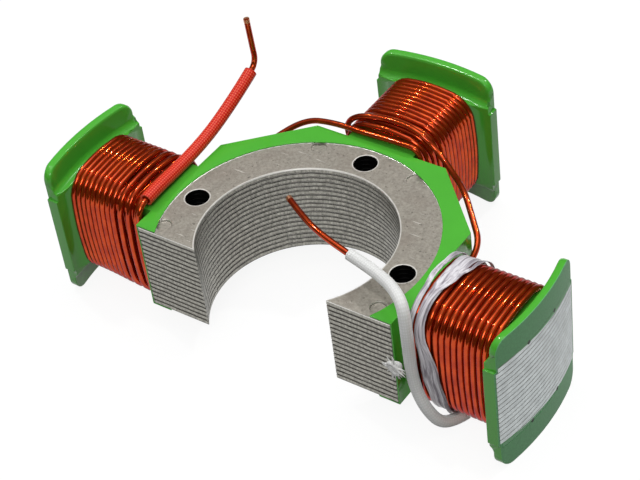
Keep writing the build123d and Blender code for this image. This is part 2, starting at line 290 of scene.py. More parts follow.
def powder_coat_material(colours):
    """Baked epoxy powder coat.

    It is glossy with a slight orange peel, and dull and speckled where the wheel that ground
    the poles has touched the tabs.
    """
    material, tree, shader = new_material("powder_coat")
    place = add(tree, "TexCoord").outputs["Object"]
    peel = add(tree, "TexNoise", {"Vector": place, "Scale": 1 / (2.2 * MM), "Detail": 2})
    mottle = add(tree, "TexNoise", {"Vector": place, "Scale": 1 / (9 * MM), "Detail": 3})
    speckle = add(tree, "TexNoise", {"Vector": place, "Scale": 1 / (0.5 * MM), "Detail": 3, "Roughness": 0.7})
    flat = add(tree, "VectorMath", {0: place, 1: (1, 1, 0)}, operation="MULTIPLY")
    radius = add(tree, "VectorMath", {0: flat.outputs[0]}, operation="LENGTH")
    ground = add(
        tree,
        "MapRange",
        {
            "Value": radius.outputs["Value"],
            "From Min": face_radius - 0.22 * MM,
            "From Max": face_radius - 0.12 * MM,
        },
    )
    lighter = tuple(min(1, 1.18 * part) for part in colours.coat)
    gloss = add(tree, "Mix", {0: mottle.outputs[0], 6: tuple(colours.coat), 7: lighter}, data_type="RGBA")
    worn = tuple(1.25 * part for part in colours.coat_ground)
    scuffed = tuple(0.72 * part for part in colours.coat_ground)
    dull = add(tree, "Mix", {0: speckle.outputs[0], 6: scuffed, 7: worn}, data_type="RGBA")
    base = add(tree, "Mix", {0: ground.outputs[0], 6: gloss.outputs[2], 7: dull.outputs[2]}, data_type="RGBA")
    # painted shade: the pits are near-black spots in the colour, not hollows in the mesh
    pit_shade = add(tree, "Math", {0: pits(tree, place), 1: ground.outputs[0]}, operation="MULTIPLY")
    base = add(tree, "Mix", {0: pit_shade.outputs[0], 6: base.outputs[2], 7: linear("#0E1E10")}, data_type="RGBA")
    rough = add(tree, "MapRange", {"Value": ground.outputs[0], "To Min": 0.16, "To Max": 0.5})
    bump = add(tree, "Bump", {"Height": peel.outputs[0], "Strength": 0.35, "Distance": 0.05 * MM})
    fill(
        tree,
        shader,
        {
            "Base Color": base.outputs[2],
            "Roughness": rough.outputs[0],
            "Normal": bump.outputs[0],
            "Specular IOR Level": 0.35,
        },
    )
    return material


def rolled_steel_material(colours):
    """Rolled electrical steel, bare on the ring that was masked from the coat.

    It is a warm grey with fine grain, cloudy stains, pale scratches, and a painted highlight on the rims of
    the holes and the bore.
    """
    material, tree, shader = new_material("rolled_steel")
    place = add(tree, "TexCoord").outputs["Object"]
    grain = add(tree, "TexNoise", {"Vector": place, "Scale": 1 / (0.6 * MM), "Detail": 4, "Roughness": 0.7})
    stain = add(tree, "TexNoise", {"Vector": place, "Scale": 1 / (6 * MM), "Detail": 3})
    light = tuple(min(1, 1.3 * part) for part in colours.steel_flat)
    dark = tuple(0.74 * part for part in colours.steel_flat)
    cloud = add(tree, "MapRange", {"Value": grain.outputs[0], "From Min": 0.3, "From Max": 0.7})
    base = add(tree, "Mix", {0: cloud.outputs[0], 6: dark, 7: light}, data_type="RGBA")
    patch = add(
        tree, "MapRange", {"Value": stain.outputs[0], "From Min": 0.5, "From Max": 0.75, "To Max": 0.45}
    )
    tone = add(tree, "Mix", {0: patch.outputs[0], 6: base.outputs[2], 7: linear("#8A7F74")}, data_type="RGBA")
    flecks = add(
        tree,
        "TexNoise",
        {"Vector": place, "Scale": 1 / (0.8 * MM), "Detail": 2, "W": 3},
        noise_dimensions="4D",
    )
    fleck = add(
        tree, "MapRange", {"Value": flecks.outputs[0], "From Min": 0.63, "From Max": 0.7, "To Max": 0.6}
    )
    tone = add(tree, "Mix", {0: fleck.outputs[0], 6: tone.outputs[2], 7: linear("#4A463E")}, data_type="RGBA")
    for turn, offset in ((0.5, 0.0), (-0.9, 31.0)):
        across = add(tree, "Mapping", {"Vector": place, "Rotation": (0, 0, turn), "Scale": (0.35, 5, 1)})
        score = add(
            tree,
            "TexNoise",
            {"Vector": across.outputs[0], "Scale": 1 / (2.2 * MM), "Detail": 2, "W": offset},
            noise_dimensions="4D",
        )
        line = add(
            tree,
            "MapRange",
            {"Value": score.outputs[0], "From Min": 0.705, "From Max": 0.74, "To Max": 0.8},
        )
        tone = add(
            tree, "Mix", {0: line.outputs[0], 6: tone.outputs[2], 7: linear("#F2EEE6")}, data_type="RGBA"
        )
    reaches = []
    for centre in HOLES:
        away = add(tree, "VectorMath", {0: place, 1: (*centre, stack_height)}, operation="DISTANCE")
        reaches.append(away.outputs["Value"])
    near = reaches[0]
    for reach in reaches[1:]:
        near = add(tree, "Math", {0: near, 1: reach}, operation="MINIMUM").outputs[0]
    to_hole = add(tree, "Math", {0: near, 1: hole_radius}, operation="SUBTRACT")
    flat = add(tree, "VectorMath", {0: place, 1: (1, 1, 0)}, operation="MULTIPLY")
    radius = add(tree, "VectorMath", {0: flat.outputs[0]}, operation="LENGTH")
    to_bore = add(tree, "Math", {0: radius.outputs["Value"], 1: bore_radius}, operation="SUBTRACT")
    nearer = add(tree, "Math", {0: to_hole.outputs[0], 1: to_bore.outputs[0]}, operation="MINIMUM")
    # painted highlight: a pale rim along the edges of the holes and the bore
    rim_highlight = add(
        tree,
        "MapRange",
        {"Value": nearer.outputs[0], "From Min": 0.4 * MM, "From Max": 0.2 * MM, "To Max": 0.7},
    )
    highlighted = add(tree, "Mix", {0: rim_highlight.outputs[0], 6: tone.outputs[2], 7: linear("#F6F4EE")}, data_type="RGBA")
    bump = add(tree, "Bump", {"Height": grain.outputs[0], "Strength": 0.4, "Distance": 0.04 * MM})
    fill(
        tree,
        shader,
        {"Base Color": highlighted.outputs[2], "Metallic": 0.3, "Roughness": 0.45, "Normal": bump.outputs[0]},
    )
    return material


def punched_edge_material(colours, name, dimming):
    """Punched edges of the sheets, in the bore, in the holes and at the ends of the yoke.

    Each sheet shows a grey band with a dark line at the joint, where burr and shadow meet. The
    upper edge of the top sheet has a painted highlight. The holes are darkened by oil and by painted shade.
    """
    material, tree, shader = new_material(name)
    place = add(tree, "TexCoord").outputs["Object"]
    height = add(tree, "SeparateXYZ", {0: place}).outputs["Z"]
    waver = add(tree, "TexNoise", {"Vector": place, "Scale": 1 / (3 * MM), "Detail": 3})
    lift = add(tree, "MapRange", {"Value": waver.outputs[0], "To Min": -0.16, "To Max": 0.16})
    sheets = add(tree, "Math", {0: height, 1: sheet_thickness}, operation="DIVIDE")
    wavy = add(tree, "Math", {0: sheets.outputs[0], 1: lift.outputs[0]}, operation="ADD")
    within = add(tree, "Math", {0: wavy.outputs[0]}, operation="FRACT")
    from_middle = add(tree, "Math", {0: within.outputs[0], 1: 0.5}, operation="SUBTRACT")
    to_joint = add(tree, "Math", {0: from_middle.outputs[0]}, operation="ABSOLUTE")
    joint = add(tree, "MapRange", {"Value": to_joint.outputs[0], "From Min": 0.27, "From Max": 0.34})
    drag = add(tree, "Mapping", {"Vector": place, "Scale": (1, 1, 0.3)})
    marks = add(
        tree,
        "TexNoise",
        {"Vector": drag.outputs[0], "Scale": 1 / (0.5 * MM), "Detail": 4, "Roughness": 0.65},
    )
    cloud = add(tree, "MapRange", {"Value": marks.outputs[0], "From Min": 0.3, "From Max": 0.7})
    dark = tuple(0.6 * dimming * part for part in colours.steel_edge)
    light = tuple(min(1, 1.7 * dimming * part) for part in colours.steel_edge)
    band = add(tree, "Mix", {0: cloud.outputs[0], 6: dark, 7: light}, data_type="RGBA")
    gap = tuple(0.1 * dimming * part for part in colours.steel_edge)
    base = add(tree, "Mix", {0: joint.outputs[0], 6: band.outputs[2], 7: gap}, data_type="RGBA")
    # painted highlight: a pale line along the upper edge of the top sheet
    top = stack_height - 0.34 * MM
    rim_highlight = add(
        tree, "MapRange", {"Value": height, "From Min": top, "From Max": top + 0.1 * MM, "To Max": dimming}
    )
    highlighted = add(tree, "Mix", {0: rim_highlight.outputs[0], 6: base.outputs[2], 7: linear("#F4F2EC")}, data_type="RGBA")
    bump = add(tree, "Bump", {"Height": marks.outputs[0], "Strength": 0.5, "Distance": 0.05 * MM})
    fill(
        tree,
        shader,
        {"Base Color": highlighted.outputs[2], "Metallic": 0.85, "Roughness": 0.42, "Normal": bump.outputs[0]},
    )
    return material


def ground_face_material(colours):
    """Ground faces of the poles: silver, with fine lines from the wheel along the sheets.

    The coat's edge runs a little aslant over the first and the last sheets, and each face has
    four small pits, whose shade is painted as dark spots.
    """
    material, tree, shader = new_material("ground_face")
    place = add(tree, "TexCoord").outputs["Object"]
    split = add(tree, "SeparateXYZ", {0: place})
    height = split.outputs["Z"]
    along = add(tree, "Mapping", {"Vector": place, "Scale": (1, 1, 30)})
    lines = add(
        tree,
        "TexNoise",
        {"Vector": along.outputs[0], "Scale": 1 / (5 * MM), "Detail": 5, "Roughness": 0.65},
    )
    cloud = add(tree, "TexNoise", {"Vector": place, "Scale": 1 / (2.5 * MM), "Detail": 5, "Roughness": 0.75})
    mixed = add(tree, "Math", {0: lines.outputs[0], 1: cloud.outputs[0]}, operation="ADD")
    tone = add(tree, "MapRange", {"Value": mixed.outputs[0], "From Min": 0.75, "From Max": 1.25})
    dark = tuple(0.74 * part for part in colours.steel_ground)
    light = tuple(min(1, 1.16 * part) for part in colours.steel_ground)
    steel = add(tree, "Mix", {0: tone.outputs[0], 6: dark, 7: light}, data_type="RGBA")
    wave = add(tree, "TexNoise", {"Vector": place, "Scale": 1 / (5 * MM), "Detail": 2})
    drift = add(tree, "MapRange", {"Value": wave.outputs[0], "To Min": -0.3 * MM, "To Max": 0.3 * MM})
    aslant = add(tree, "Math", {0: split.outputs["Y"], 1: 0.06}, operation="MULTIPLY")
    level = add(tree, "Math", {0: height, 1: aslant.outputs[0]}, operation="ADD")
    drifted = add(tree, "Math", {0: level.outputs[0], 1: drift.outputs[0]}, operation="ADD")
    from_middle = add(tree, "Math", {0: drifted.outputs[0], 1: stack_height / 2}, operation="SUBTRACT")
    away = add(tree, "Math", {0: from_middle.outputs[0]}, operation="ABSOLUTE")
    edge = stack_height / 2 - 0.6 * MM
    covered = add(
        tree,
        "MapRange",
        {"Value": away.outputs[0], "From Min": edge - 0.06 * MM, "From Max": edge + 0.06 * MM},
    )
    coated = tuple(colours.coat_ground)
    base = add(tree, "Mix", {0: covered.outputs[0], 6: steel.outputs[2], 7: coated}, data_type="RGBA")
    # painted shade: the pits are near-black spots in the colour, not hollows in the mesh
    pit_shade = pits(tree, place)
    base = add(tree, "Mix", {0: pit_shade, 6: base.outputs[2], 7: linear("#0E1E10")}, data_type="RGBA")
    metal = add(tree, "MapRange", {"Value": covered.outputs[0], "To Min": 0.8, "To Max": 0.0})
    bump = add(tree, "Bump", {"Height": lines.outputs[0], "Strength": 0.25, "Distance": 0.03 * MM})
    fill(
        tree,
        shader,
        {
            "Base Color": base.outputs[2],
            "Metallic": metal.outputs[0],
            "Roughness": 0.45,
            "Normal": bump.outputs[0],
        },
    )
    return material


def enamelled_copper_material(colours):
    """Copper wire under a red polyester enamel.

    The copper shines through the enamel, so it looks like an orange-red metal under a clear
    coat, deep red where little light falls on it.
    """
    material, tree, shader = new_material("enamelled_copper")
    place = add(tree, "TexCoord").outputs["Object"]
    cloud = add(tree, "TexNoise", {"Vector": place, "Scale": 1 / (3 * MM), "Detail": 3})
    tone = add(tree, "MapRange", {"Value": cloud.outputs[0], "From Min": 0.35, "From Max": 0.65})
    deep = (0.72 * colours.enamel[0], 0.5 * colours.enamel[1], 0.5 * colours.enamel[2], 1)
    base = add(tree, "Mix", {0: tone.outputs[0], 6: deep, 7: tuple(colours.enamel)}, data_type="RGBA")
    uneven = add(tree, "TexNoise", {"Vector": place, "Scale": 1 / (1.6 * MM), "Detail": 2})
    bump = add(tree, "Bump", {"Height": uneven.outputs[0], "Strength": 0.3, "Distance": 0.04 * MM})
    fill(
        tree,
        shader,
        {
            "Base Color": base.outputs[2],
            "Metallic": 0.8,
            "Roughness": 0.16,
            "Specular Tint": linear("#7A2C12"),
            "Normal": bump.outputs[0],
            "Coat Weight": 0.4,
            "Coat Roughness": 0.04,
        },
    )
    return material


def bare_copper_material(colours):
    """Copper where a wire's end was cut: pale, with the marks of the cutter."""
    material, tree, shader = new_material("cut_copper")
    place = add(tree, "TexCoord").outputs["Object"]
    marks = add(tree, "TexNoise", {"Vector": place, "Scale": 1 / (0.3 * MM), "Detail": 3})
    dark = tuple(0.6 * part for part in colours.copper)
    base = add(tree, "Mix", {0: marks.outputs[0], 6: dark, 7: tuple(colours.copper)}, data_type="RGBA")
    fill(tree, shader, {"Base Color": base.outputs[2], "Metallic": 0.9, "Roughness": 0.35})
    return material


def braid_material(name, low, high, shine, fuzziness):
    """Glass braid: painted highlight dots where strands cross on top.

    The braid attribute holds the cosine and sine of the turn round the sleeve, and the way along it.
    """
    material, tree, shader = new_material(name)
    place = add(tree, "TexCoord").outputs["Object"]
    braid = add(tree, "SeparateXYZ", {0: add(tree, "Attribute", attribute_name="braid").outputs["Vector"]})
    turn = add(tree, "Math", {0: braid.outputs["Y"], 1: braid.outputs["X"]}, operation="ARCTAN2")
    around = add(tree, "Math", {0: turn.outputs[0], 1: 8.0}, operation="MULTIPLY")
    onward = add(tree, "Math", {0: braid.outputs["Z"], 1: 2 * pi / (1.3 * MM)}, operation="MULTIPLY")
    waves = []
    for operation in ("ADD", "SUBTRACT"):
        phase = add(tree, "Math", {0: around.outputs[0], 1: onward.outputs[0]}, operation=operation)
        waves.append(add(tree, "Math", {0: phase.outputs[0]}, operation="SINE").outputs[0])
    weave = add(tree, "Math", {0: waves[0], 1: waves[1]}, operation="MULTIPLY").outputs[0]
    fuzz = add(tree, "TexNoise", {"Vector": place, "Scale": 1 / (0.25 * MM), "Detail": 3})
    # painted highlight: the strands that cross on top get the lighter colour
    crossing_highlight = add(tree, "MapRange", {"Value": weave, "From Min": -0.1, "From Max": 0.8})
    strand = add(tree, "Mix", {0: crossing_highlight.outputs[0], 6: tuple(low), 7: tuple(high)}, data_type="RGBA")
    bump = add(tree, "Bump", {"Height": weave, "Strength": 0.4, "Distance": 0.06 * MM})
    frayed = add(
        tree,
        "Bump",
        {"Height": fuzz.outputs[0], "Strength": 0.2, "Distance": 0.05 * MM, "Normal": bump.outputs[0]},
    )
    fill(
        tree,
        shader,
        {
            "Base Color": strand.outputs[2],
            "Roughness": shine,
            "Normal": frayed.outputs[0],
            "Specular IOR Level": 0.3,
            "Sheen Weight": fuzziness,
            "Sheen Roughness": 0.6,
        },
    )
    return material


def lacing_film_material(colours):
    """Polyester lacing tape pulled tight: a thin lilac-white film with folds along its length, with painted
    shade in their creases.
    """
    material, tree, shader = new_material("lacing_film")
    along = add(tree, "Attribute", attribute_name="along").outputs["Fac"]
    across = add(tree, "Attribute", attribute_name="across").outputs["Fac"]
    slow = add(tree, "Math", {0: along, 1: 0.12}, operation="MULTIPLY")
    place = add(tree, "CombineXYZ", {"X": slow.outputs[0], "Y": across})
    folds = add(
        tree,
        "TexNoise",
        {
            "Vector": place.outputs[0],
            "Scale": 1 / (0.9 * MM),
            "Detail": 4,
            "Roughness": 0.6,
            "Distortion": 0.6,
        },
    )
    tone = add(tree, "MapRange", {"Value": folds.outputs[0], "From Min": 0.38, "From Max": 0.6})
    # painted shade: the creases of the folds are half as bright as the tape
    shade = tuple(0.5 * part for part in colours.lacing)
    base = add(tree, "Mix", {0: tone.outputs[0], 6: shade, 7: linear("#F6F3F8")}, data_type="RGBA")
    clear = add(
        tree,
        "MapRange",
        {"Value": folds.outputs[0], "From Min": 0.3, "From Max": 0.5, "To Min": 0.7, "To Max": 0.97},
    )
    bump = add(tree, "Bump", {"Height": folds.outputs[0], "Strength": 0.5, "Distance": 0.2 * MM})
    fill(
        tree,
        shader,
        {
            "Base Color": base.outputs[2],
            "Roughness": 0.3,
            "Alpha": clear.outputs[0],
            "Normal": bump.outputs[0],
        },
    )
    return material


def cotton_material():
    """Frayed end of white lacing cord: matte fibres with pale grey shade between them."""
    material, tree, shader = new_material("lacing_cotton")
    place = add(tree, "TexCoord").outputs["Object"]
    fibres = add(tree, "TexNoise", {"Vector": place, "Scale": 1 / (0.3 * MM), "Detail": 4, "Roughness": 0.7})
    tone = add(tree, "MapRange", {"Value": fibres.outputs[0], "From Min": 0.35, "From Max": 0.65})
    white = linear("#FFFFFF")
    base = add(tree, "Mix", {0: tone.outputs[0], 6: linear("#DEDDD8"), 7: white}, data_type="RGBA")
    bump = add(tree, "Bump", {"Height": fibres.outputs[0], "Strength": 0.5, "Distance": 0.08 * MM})
    fill(tree, shader, {"Base Color": base.outputs[2], "Roughness": 0.85, "Normal": bump.outputs[0]})
    return material


def to_pole(pole, outward, across, up):
    """A place given along, across and up a pole, in the frame of the stack."""
    place = Vector((outward, across, up))
    place.rotate(Matrix.Rotation(radians(POLES[pole]), 3, "Z"))
    return place


def turn_path(half_across, half_up, corner, bulge, side_steps=8, corner_steps=6):
    """Points (across, up) round one turn, counter-clockwise from the middle of its underside."""
    loop = []
    for quarter in range(4):
        facing = radians(90 * quarter - 90)
        outward = Vector((cos(facing), sin(facing)))
        onward = Vector((-sin(facing), cos(facing)))
        reach, half = (half_up, half_across) if quarter % 2 == 0 else (half_across, half_up)
        straight = half - corner
        for step in range(side_steps):
            place = straight * (2 * step / side_steps - 1)
            swell = bulge * cos(pi * place / (2 * straight))
            loop.append((reach + swell) * outward + place * onward)
        for step in range(corner_steps):
            turn = facing + radians(90 * step / corner_steps)
            centre = (reach - corner) * outward + straight * onward
            loop.append(centre + corner * Vector((cos(turn), sin(turn))))
    start = side_steps // 2
    return loop[start:] + loop[:start]


def show(obj):
    """Puts an object in the scene, as a piece that rides on the stack."""
    bpy.context.scene.collection.objects.link(obj)
    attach(obj, "root")
    return obj


def mesh_object(name, shape, materials):
    """An object with the mesh of a bmesh."""
    mesh = bpy.data.meshes.new(name)
    shape.to_mesh(mesh)
    shape.free()
    for material in materials:
        mesh.materials.append(material)
    mesh.shade_smooth()
    return show(bpy.data.objects.new(name, mesh))


def curve_object(name, material, sides=4):
    """An object with an empty curve of round wire, as thick as its points say."""
    curve = bpy.data.curves.new(name, "CURVE")
    curve.dimensions = "3D"
    curve.bevel_depth = 1
    curve.bevel_resolution = sides
    curve.use_fill_caps = True
    curve.materials.append(material)
    return show(bpy.data.objects.new(name, curve))


def add_spline(curve, kind, places, radius):
    """Adds a spline with the places as its points, and the wire's radius at each."""
    spline = curve.splines.new(kind)
    spline.points.add(len(places) - 1)
    for point, place in zip(spline.points, places):
        point.co = (*place, 1)
        point.radius = radius
    return spline


def smooth_spline(curve, route, radius):
    """Adds a smooth spline with the route's points as its control points."""
    spline = add_spline(curve, "NURBS", route, radius)
    spline.order_u = 3
    spline.use_endpoint_u = True
    spline.resolution_u = 24
    return spline


def dressed_copy(node, name, roundings, materials, choose):
    """A merged copy of a piece with rounded edges, which takes the piece's place.

    Each rounding is its size and a test that says whether an edge gets it.
    """
    shape = bmesh.new()
    shape.from_mesh(bpy.data.objects[node].data)
    bmesh.ops.remove_doubles(shape, verts=shape.verts, dist=0.001 * MM)
    for size, wanted in roundings:
        corners = [side for side in shape.edges if side.calc_face_angle(0) > SHARP and wanted(side)]
        bmesh.ops.bevel(
            shape,
            geom=corners,
            offset=size,
            segments=2,
            profile=0.5,
            affect="EDGES",
            material=-1,
            loop_slide=False,
        )
    for face in shape.faces:
        face.material_index = choose(face)
    obj = mesh_object(name, shape, materials)
    weighted = obj.modifiers.new("Weighted normals", "WEIGHTED_NORMAL")
    weighted.keep_sharp = True
    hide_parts(node)
    return obj


def edge_middle(edge):
    """The middle of an edge: its distance from the bore's axis, and its height over mid-stack."""
    middle = (edge.verts[0].co + edge.verts[1].co) / 2
    return hypot(middle.x, middle.y), abs(middle.z - stack_height / 2)


def on_ridge(edge):
    """Whether an edge runs round the inner side of an upper tab."""
    radius, up = edge_middle(edge)
    upper = edge.verts[0].co.z > stack_height
    above_foot = up > stack_height / 2 + 2.2 * MM
    inner_side = radius < face_radius - 1.2 * MM
    return upper and edge.is_convex and above_foot and inner_side


def steel_part(face):
    """Which finish a face of a sheet has: 0 rolled, 1 punched, 2 ground, or 3 in a hole."""
    centre = face.calc_center_median()
    flat = abs(face.normal.z) > 0.7
    outermost = abs(centre.z - stack_height / 2) > stack_height / 2 - 0.3 * MM
    in_hole = any(hypot(centre.x - x, centre.y - y) < hole_radius + 0.2 * MM for x, y in HOLES)
    if in_hole and not (flat and outermost):
        return 3
    if flat:
        return 0
    return 2 if hypot(centre.x, centre.y) > face_radius - GROUND_DEPTH else 1


class STATOR_OT_sheets(bpy.types.Operator):
    """Sheets of the stack, with rolled faces, punched edges and ground pole faces"""

    bl_idname = "stator.sheets"
    bl_label = "Sheets"

    def execute(self, context):
        sizes, colours = context.scene.stator_sizes, context.scene.stator_colours
        materials = [
            rolled_steel_material(colours),
            punched_edge_material(colours, "punched_edge", 1.0),
            ground_face_material(colours),
            # the hole walls are dimmed nearly to black: partly oil, mostly painted shade
            punched_edge_material(colours, "oily_shaded_hole", 0.03),
        ]
        nodes = sorted(name for name in frame["nodes"] if name.startswith(("lamination", "end_plate")))
        for node in nodes:
            roundings = [(sizes.sheet_edge, lambda edge: True)]
            piece = dressed_copy(node, "stamped_" + node, roundings, materials, steel_part)
        return {"FINISHED"}


class STATOR_OT_coat(bpy.types.Operator):
    """Powder coat on the poles, the tabs and the outer part of the yoke"""

    bl_idname = "stator.coat"
    bl_label = "Powder coat"

    def execute(self, context):
        sizes, colours = context.scene.stator_sizes, context.scene.stator_colours
        materials = [powder_coat_material(colours)]
        roundings = [(sizes.tab_ridge, on_ridge), (sizes.coat_edge, lambda edge: edge.is_convex)]
        piece = dressed_copy("epoxy_coat", "green_coat", roundings, materials, lambda face: 0)
        return {"FINISHED"}


class STATOR_OT_windings(bpy.types.Operator):
    """Two layers of enamelled wire on each pole"""

    bl_idname = "stator.windings"
    bl_label = "Windings"

    def execute(self, context):
        sizes, colours = context.scene.stator_sizes, context.scene.stator_colours
        material = enamelled_copper_material(colours)
        wire = sizes.wire_diameter
        half_across = winding_high.y - wire / 2
        half_up = (winding_high.z - winding_low.z - wire) / 2
        outer = turn_path(half_across, half_up, sizes.turn_corner, sizes.turn_bulge)
        inner = turn_path(half_across - wire, half_up - wire, sizes.inner_corner, 0)
        for pole, turns in WINDINGS.items():
            chance = random.Random(context.scene.stator_studio.seed + POLES[pole])
            first = winding_high.x - wire / 2
            centres = [first - turns["pitch"] * turn for turn in range(turns["close_turns"])]
            for gap in turns["gaps"]:
                centres.append(centres[-1] - gap)
            count = int((winding_high.x - winding_low.x) / wire)
            hidden = [winding_high.x - wire * (turn + 1) for turn in range(count)]
            piece = curve_object("wound_wire_" + pole, material)
            for path, places in ((outer, centres), (inner, hidden)):
                line = self.layer(pole, path, places, turns, chance)
                add_spline(piece.data, "POLY", line, wire / 2)
            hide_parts("winding_" + pole)
        return {"FINISHED"}

    def layer(self, pole, path, places, turns, chance):
        """One layer as a single line, which steps to the next turn along the underside."""
        line = []
        for turn, place in enumerate(places):
            following = places[min(turn + 1, len(places) - 1)]
            slip = LOOSE_SLIP if turn >= turns["close_turns"] else CLOSE_SLIP
            sag = turns["sag"] * (turn / (len(places) - 1)) ** 2
            drift = [chance.uniform(-slip, slip) for corner in range(5)]
            for step, (across, up) in enumerate(path):
                share = step / len(path)
                quarter = floor(4 * share)
                within = 4 * share - quarter
                sway = drift[quarter] * (1 - within) + drift[quarter + 1] * within
                over = max(0, (share - STEP_START) / (1 - STEP_START))
                outward = place + sway * (1 - over) + (following - place) * over
                droop = sag * max(0, up / path[0].y)
                line.append(to_pole(pole, outward, across, up - droop + winding_middle))
        return line


class STATOR_OT_crossovers(bpy.types.Operator):
    """Wires that cross from one winding to the next"""

    bl_idname = "stator.crossovers"
    bl_label = "Crossovers"

    def execute(self, context):
        material = bpy.data.materials["enamelled_copper"]
        radius = context.scene.stator_sizes.wire_diameter / 2
        routes = {"crossover_left_back": LEFT_TO_BACK_ROUTE, "crossover_back_right": BACK_TO_RIGHT_ROUTE}
        for node, route in routes.items():
            piece = curve_object("wire_" + node, material)
            smooth_spline(piece.data, route, radius)
            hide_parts(node)
        return {"FINISHED"}


class STATOR_OT_leads(bpy.types.Operator):
    """The two leads with their braided sleeves"""

    bl_idname = "stator.leads"
    bl_label = "Leads"

    def execute(self, context):
        sizes, colours = context.scene.stator_sizes, context.scene.stator_colours
        enamel = bpy.data.materials["enamelled_copper"]
        copper = bare_copper_material(colours)
        red = braid_material("red_glass_braid", colours.red_braid, linear("#FF6E4C"), 0.4, 0.0)
        white = braid_material("white_glass_braid", linear("#F0F1EE"), colours.white_braid, 0.6, 1.0)
        leads = (
            {
                "name": "start",
                "route": START_ROUTE,
                "runs": (9, 15),
                "sleeve": "red_sleeve",
                "slot": "red_braid",
                "diameter": sizes.red_sleeve,
                "finish": red,
            },
            {
                "name": "finish",
                "route": FINISH_ROUTE,
                "runs": (2, 13),
                "sleeve": "white_sleeve",
                "slot": "white_braid",
                "diameter": sizes.white_sleeve,
                "finish": white,
            },
        )
        for lead in leads:
            piece = curve_object("wire_" + lead["name"], enamel)
            smooth_spline(piece.data, lead["route"], sizes.wire_diameter / 2)
            piece.data.bevel_depth = 0
            line = [vertex.co.copy() for vertex in bpy.data.meshes.new_from_object(piece).vertices]
            piece.data.bevel_depth = 1
            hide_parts(lead["name"] + "_lead")
            sleeve = self.sleeve(lead, line, sizes.sleeve_wall)
            tip = self.cut_end(lead, line, sizes.wire_diameter / 2, copper)
        return {"FINISHED"}

    def cut_end(self, lead, line, radius, copper):
        """The last millimetre of the wire, scraped bare, with its cut face, just over the enamel."""
        piece = curve_object("cut_end_" + lead["name"], copper)
        end, before = line[-1], line[-2]
        inward = (before - end).normalized()
        over_enamel = 0.02 * MM
        add_spline(piece.data, "POLY", (end + inward * MM, end), radius + over_enamel)
        return piece

    def sleeve(self, lead, line, wall):
        """A braided tube on a stretch of the lead, from the middle of one run to that of another."""
        ends = []
        for run in lead["runs"]:
            middle = (Vector(lead["route"][run - 1]) + Vector(lead["route"][run])) / 2
            ends.append(min(range(len(line)), key=lambda step: (line[step] - middle).length))
        stretch = line[ends[0] : ends[1] + 1]
        radius = lead["diameter"] / 2
        guide = curve_object(lead["sleeve"] + "_guide", lead["finish"], sides=10)
        guide.data.use_fill_caps = False
        add_spline(guide.data, "POLY", stretch, radius)
        mesh = bpy.data.meshes.new_from_object(guide)
        bpy.data.objects.remove(guide)
        around = len(mesh.vertices) // len(stretch)
        braid = mesh.attributes.new("braid", "FLOAT_VECTOR", "POINT")
        travelled = 0
        for ring, centre in enumerate(stretch):
            if ring:
                travelled += (centre - stretch[ring - 1]).length
            for step in range(around):
                turn = 2 * pi * step / around
                braid.data[ring * around + step].vector = (cos(turn), sin(turn), travelled)
        mesh.shade_smooth()
        piece = show(bpy.data.objects.new("braided_" + lead["sleeve"], mesh))
        solid = piece.modifiers.new("Wall", "SOLIDIFY")
        solid.thickness = wall
        solid.offset = -1
        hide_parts(lead["sleeve"])
        return piece


